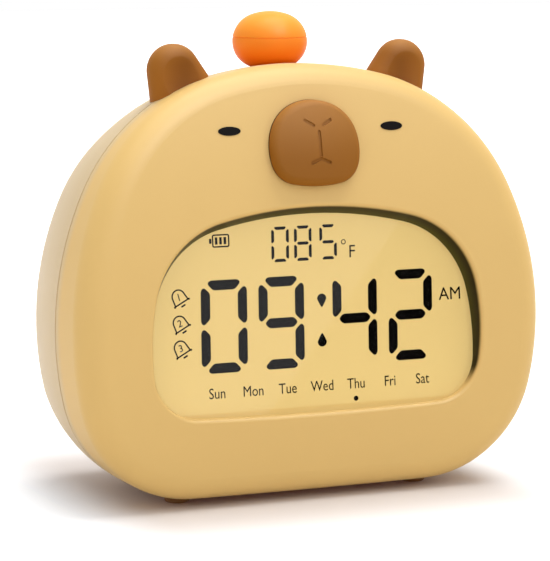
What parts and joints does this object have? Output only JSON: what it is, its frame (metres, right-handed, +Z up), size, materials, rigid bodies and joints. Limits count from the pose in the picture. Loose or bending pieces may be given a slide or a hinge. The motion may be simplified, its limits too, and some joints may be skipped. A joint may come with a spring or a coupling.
{
  "type": "kids alarm clock with night light",
  "caption": "Rounded animal-head bedside clock: recessed wide LCD window, snout, ears, an orange push button on the head, rear keys, slide switch, speaker slots and charging socket.",
  "frame": {"origin": "on the table, under the middle of the clock's bounding box", "axes": "+Z up, the display looks along -Y, +X is to the viewer's right when facing the display"},
  "size_m": [0.1202, 0.0605, 0.1152],
  "materials": {
    "cream_shell": "soft-touch matte",
    "brown_plastic": "soft-touch matte",
    "orange_cap": "translucent satin",
    "black_eye": "satin",
    "clear_cover": "clear acrylic",
    "lit_display": "satin, backlit",
    "light_guide": "frosted",
    "warm_lamp": "clear epoxy",
    "white_frame": "as moulded",
    "contact_rubber": "silicone",
    "circuit_board": "solder mask",
    "black_component": "moulded epoxy",
    "steel": "zinc plated",
    "cell_wrap": "shrink sleeve",
    "foot_rubber": "matte"
  },
  "bodies": {
    "case": {"front_shell": "cream_shell", "rear_shell": "cream_shell", "display_cover": "clear_cover", "display_glass": "lit_display", "light_guide": "light_guide", "backlight_leds": "warm_lamp", "display_frame": "white_frame", "zebra_strip": "contact_rubber", "main_board": "circuit_board", "clock_chip": "black_component", "clock_crystal": "steel", "temperature_sensor": "black_component", "battery_plug": "white_frame", "snout": "brown_plastic", "snout_push_nuts": "steel", "eye_left": "black_eye", "eye_right": "black_eye", "ear_left": "brown_plastic", "ear_right": "brown_plastic", "orange_switch": "black_component", "top_board": "circuit_board", "night_light_leds": "warm_lamp", "button_switches": "black_component", "button_board": "circuit_board", "slide_switch": "steel", "speaker": "black_component", "usb_socket": "steel", "usb_board": "circuit_board", "battery_cell": "cell_wrap", "battery_strap": "white_frame", "rubber_feet": "foot_rubber", "shell_screws": "steel", "frame_screws": "steel", "board_screws": "steel", "button_board_screws": "steel", "top_board_screws": "steel"},
    "orange": {"orange_button": "orange_cap", "orange_clip": "white_frame", "orange_plunger": "white_frame"},
    "set_key": {"set_button": "brown_plastic", "set_plunger": "white_frame"},
    "up_key": {"up_button": "brown_plastic", "up_plunger": "white_frame"},
    "down_key": {"down_button": "brown_plastic", "down_plunger": "white_frame"},
    "light_key": {"light_button": "brown_plastic", "light_plunger": "white_frame"},
    "alarm_key": {"alarm_slider": "brown_plastic"}
  },
  "joints": [
    {"name": "orange_press", "type": "slide", "parent": "case", "child": "orange", "axis": [0, 0, -1], "range_m": [0, 0.0008], "stiffness_N_per_m": 500, "springref_m": -0.0005},
    {"name": "set_press", "type": "slide", "parent": "case", "child": "set_key", "axis": [0, -1, 0], "range_m": [0, 0.0005], "stiffness_N_per_m": 500, "springref_m": -0.0005},
    {"name": "up_press", "type": "slide", "parent": "case", "child": "up_key", "axis": [0, -1, 0], "range_m": [0, 0.0005], "stiffness_N_per_m": 500, "springref_m": -0.0005},
    {"name": "down_press", "type": "slide", "parent": "case", "child": "down_key", "axis": [0, -1, 0], "range_m": [0, 0.0005], "stiffness_N_per_m": 500, "springref_m": -0.0005},
    {"name": "light_press", "type": "slide", "parent": "case", "child": "light_key", "axis": [0, -1, 0], "range_m": [0, 0.0005], "stiffness_N_per_m": 500, "springref_m": -0.0005},
    {"name": "alarm_slide", "type": "slide", "parent": "case", "child": "alarm_key", "axis": [-1, 0, 0], "range_m": [0, 0.003]}
  ]
}
